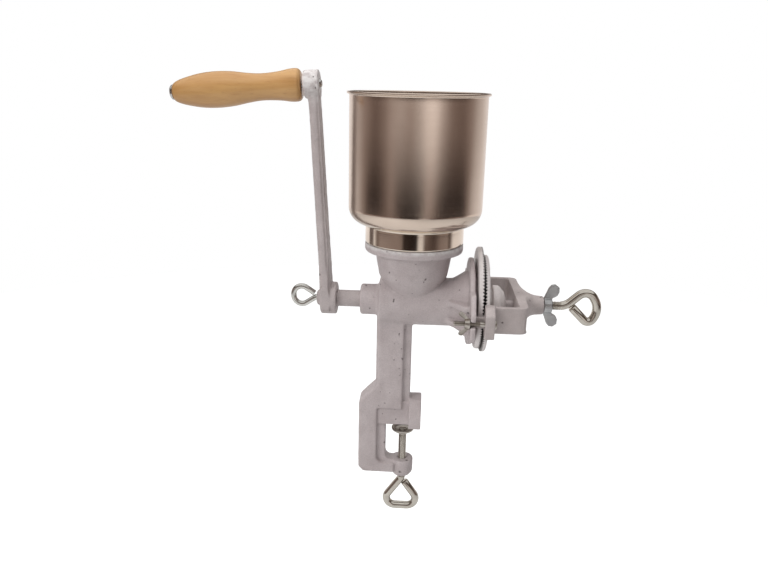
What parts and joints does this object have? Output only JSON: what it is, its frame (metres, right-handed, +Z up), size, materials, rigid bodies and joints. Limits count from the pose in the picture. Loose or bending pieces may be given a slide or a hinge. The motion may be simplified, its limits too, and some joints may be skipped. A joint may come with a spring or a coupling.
{
  "type": "hand crank grain mill",
  "caption": "Hand crank mill with a tall steel hopper, auger, burr pair with adjusting screw and yoke, wooden handle and table clamp.",
  "frame": {"origin": "on the clamp screw line, in the underside of the table jaw", "axes": "+X along the shaft from the crank to the burrs, +Z up along the clamp screw, Y across the mill with -Y on the side seen in the picture"},
  "size_m": [0.4558, 0.1444, 0.4983],
  "materials": {
    "cast_body": "tinned, fine cast grain",
    "grinding_iron": "tinned, ground faces",
    "hopper_steel": "satin, spun",
    "screw_zinc": "bright zinc plate",
    "nut_zinc": "dull zinc plate",
    "bolt_zinc": "yellowish zinc plate",
    "pin_steel": "plain bright steel",
    "grip_wood": "clear varnish"
  },
  "bodies": {
    "stand": {"mill_body": "cast_body", "stationary_burr": "grinding_iron", "burr_dowel_top": "pin_steel", "burr_dowel_near": "pin_steel", "burr_dowel_far": "pin_steel", "yoke": "cast_body", "yoke_bolt_near": "bolt_zinc", "yoke_bolt_far": "bolt_zinc"},
    "hopper": {"hopper": "hopper_steel"},
    "thrust": {"thrust_ball": "pin_steel"},
    "adjuster": {"adjusting_screw": "screw_zinc"},
    "rotor": {"auger": "grinding_iron", "rotating_burr": "grinding_iron", "drive_pin": "pin_steel", "crank_arm": "cast_body", "handle_pin": "pin_steel"},
    "grip": {"handle_grip": "grip_wood"},
    "crank_lock": {"crank_screw": "screw_zinc"},
    "lock_nut": {"lock_wing_nut": "nut_zinc"},
    "nut_near": {"wing_nut_near": "bolt_zinc"},
    "nut_far": {"wing_nut_far": "bolt_zinc"},
    "pad": {"clamp_pad": "screw_zinc"},
    "clamp": {"clamp_screw": "screw_zinc"}
  },
  "joints": [
    {"name": "hopper_lift", "type": "slide", "parent": "stand", "child": "hopper", "axis": [0, 0, 1], "range_m": [0, 0.06]},
    {"name": "burr_gap", "type": "slide", "parent": "stand", "child": "thrust", "axis": [1, 0, 0], "range_m": [-0.0005, 0.002]},
    {"name": "adjust_turn", "type": "hinge", "parent": "thrust", "child": "adjuster", "pos_m": [0.15, 0, 0.145], "axis": [1, 0, 0], "range_deg": [-120, 480]},
    {"name": "crank_turn", "type": "hinge", "parent": "thrust", "child": "rotor", "pos_m": [0, 0, 0.145], "axis": [1, 0, 0], "continuous": true},
    {"name": "grip_spin", "type": "hinge", "parent": "rotor", "child": "grip", "pos_m": [-0.09949, 0, 0.36863], "axis": [-0.9971, 0, -0.0767], "continuous": true},
    {"name": "crank_screw_turn", "type": "hinge", "parent": "rotor", "child": "crank_lock", "pos_m": [-0.09, 0, 0.145], "axis": [1, 0, 0], "range_deg": [-720, 0]},
    {"name": "lock_nut_turn", "type": "hinge", "parent": "stand", "child": "lock_nut", "pos_m": [0.15, 0, 0.145], "axis": [1, 0, 0], "range_deg": [0, 540]},
    {"name": "nut_near_turn", "type": "hinge", "parent": "stand", "child": "nut_near", "pos_m": [0.06, -0.064, 0.143], "axis": [1, 0, 0], "range_deg": [-720, 0]},
    {"name": "nut_far_turn", "type": "hinge", "parent": "stand", "child": "nut_far", "pos_m": [0.06, 0.064, 0.143], "axis": [1, 0, 0], "range_deg": [-720, 0]},
    {"name": "clamp_travel", "type": "slide", "parent": "stand", "child": "pad", "axis": [0, 0, 1], "range_m": [-0.03, 0]},
    {"name": "clamp_turn", "type": "hinge", "parent": "pad", "child": "clamp", "pos_m": [0, 0, -0.05], "axis": [0, 0, 1], "range_deg": [-7200, 0]}
  ],
  "couplings": [
    {"joint": "adjust_turn", "follows": "burr_gap", "rad_per_m": 4188},
    {"joint": "clamp_travel", "follows": "clamp_turn", "m_per_rad": 0.0002387}
  ]
}
